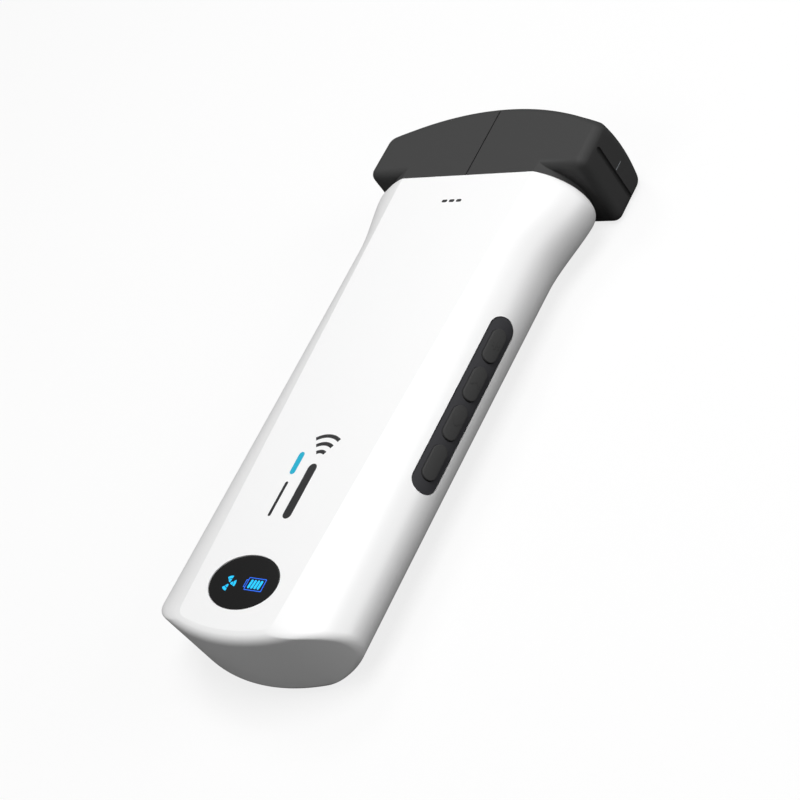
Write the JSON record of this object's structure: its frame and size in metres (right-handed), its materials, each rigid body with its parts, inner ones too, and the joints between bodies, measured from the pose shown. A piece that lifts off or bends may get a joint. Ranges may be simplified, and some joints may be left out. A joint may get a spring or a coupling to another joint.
{
  "type": "handheld ultrasound scanner",
  "caption": "Cordless handheld convex ultrasound probe with a white grip, black curved scan head, oval status window and side keypad.",
  "frame": {"origin": "middle of the scanner's footprint, on the plane that its flat back rests on", "axes": "+X towards the side with the keypad, +Y along the length to the scan head, +Z out of the front face with the status window"},
  "size_m": [0.0692, 0.1598, 0.022],
  "materials": {
    "white_shell": "satin",
    "black_shell": "fine matte grain",
    "seal_rubber": "matte",
    "steel": "satin",
    "brass": "satin",
    "white_caps": "matte",
    "lens_rubber": "smooth",
    "matching_epoxy": "satin",
    "piezo": "satin",
    "backing": "matte",
    "inner_plastic": "matte",
    "flex_film": "satin",
    "connector_plastic": "matte",
    "circuit_board": "satin",
    "chip_black": "matte",
    "antenna_ceramic": "satin",
    "aluminium": "satin",
    "battery_wrap": "satin",
    "lead_red": "matte",
    "copper": "satin",
    "ferrite": "matte",
    "window_black": "gloss",
    "display_panel": "satin",
    "keypad_rubber": "matte",
    "key_rubber": "matte",
    "plunger_nylon": "matte"
  },
  "bodies": {
    "scanner": {"casing": "white_shell", "rear_cover": "white_shell", "cover_seal": "seal_rubber", "cover_screws": "steel", "cover_inserts": "brass", "screw_caps": "white_caps", "head_housing": "black_shell", "neck_seal": "seal_rubber", "head_screws": "steel", "acoustic_lens": "lens_rubber", "matching_layer": "matching_epoxy", "piezo_elements": "piezo", "backing_block": "backing", "array_carrier": "inner_plastic", "array_flex_front": "flex_film", "array_flex_rear": "flex_film", "array_connectors": "connector_plastic", "head_board": "circuit_board", "head_link_cable": "flex_film", "midframe": "inner_plastic", "main_board": "circuit_board", "board_chips": "chip_black", "shield_can": "steel", "wifi_antenna": "antenna_ceramic", "board_screws": "steel", "heat_spreader": "aluminium", "battery": "battery_wrap", "battery_pad": "seal_rubber", "battery_lead": "lead_red", "charging_coil": "copper", "ferrite_sheet": "ferrite", "display_window": "window_black", "display_bond_ring": "seal_rubber", "display_module": "display_panel", "display_cable": "flex_film", "keypad_mat": "keypad_rubber", "keypad_retainer": "inner_plastic", "key_board": "circuit_board", "key_switches": "steel", "key_cable": "flex_film"},
    "button_1": {"key_1": "key_rubber", "key_plunger_1": "plunger_nylon"},
    "button_2": {"key_2": "key_rubber", "key_plunger_2": "plunger_nylon"},
    "button_3": {"key_3": "key_rubber", "key_plunger_3": "plunger_nylon"},
    "button_4": {"key_4": "key_rubber", "key_plunger_4": "plunger_nylon"}
  },
  "joints": [
    {"name": "button_1_press", "type": "slide", "parent": "scanner", "child": "button_1", "axis": [-0.9135, 0, -0.4067], "range_m": [0, 0.0005], "stiffness_N_per_m": 2000, "springref_m": -0.0004},
    {"name": "button_2_press", "type": "slide", "parent": "scanner", "child": "button_2", "axis": [-0.9135, 0, -0.4067], "range_m": [0, 0.0005], "stiffness_N_per_m": 2000, "springref_m": -0.0004},
    {"name": "button_3_press", "type": "slide", "parent": "scanner", "child": "button_3", "axis": [-0.9135, 0, -0.4067], "range_m": [0, 0.0005], "stiffness_N_per_m": 2000, "springref_m": -0.0004},
    {"name": "button_4_press", "type": "slide", "parent": "scanner", "child": "button_4", "axis": [-0.9135, 0, -0.4067], "range_m": [0, 0.0005], "stiffness_N_per_m": 2000, "springref_m": -0.0004}
  ]
}
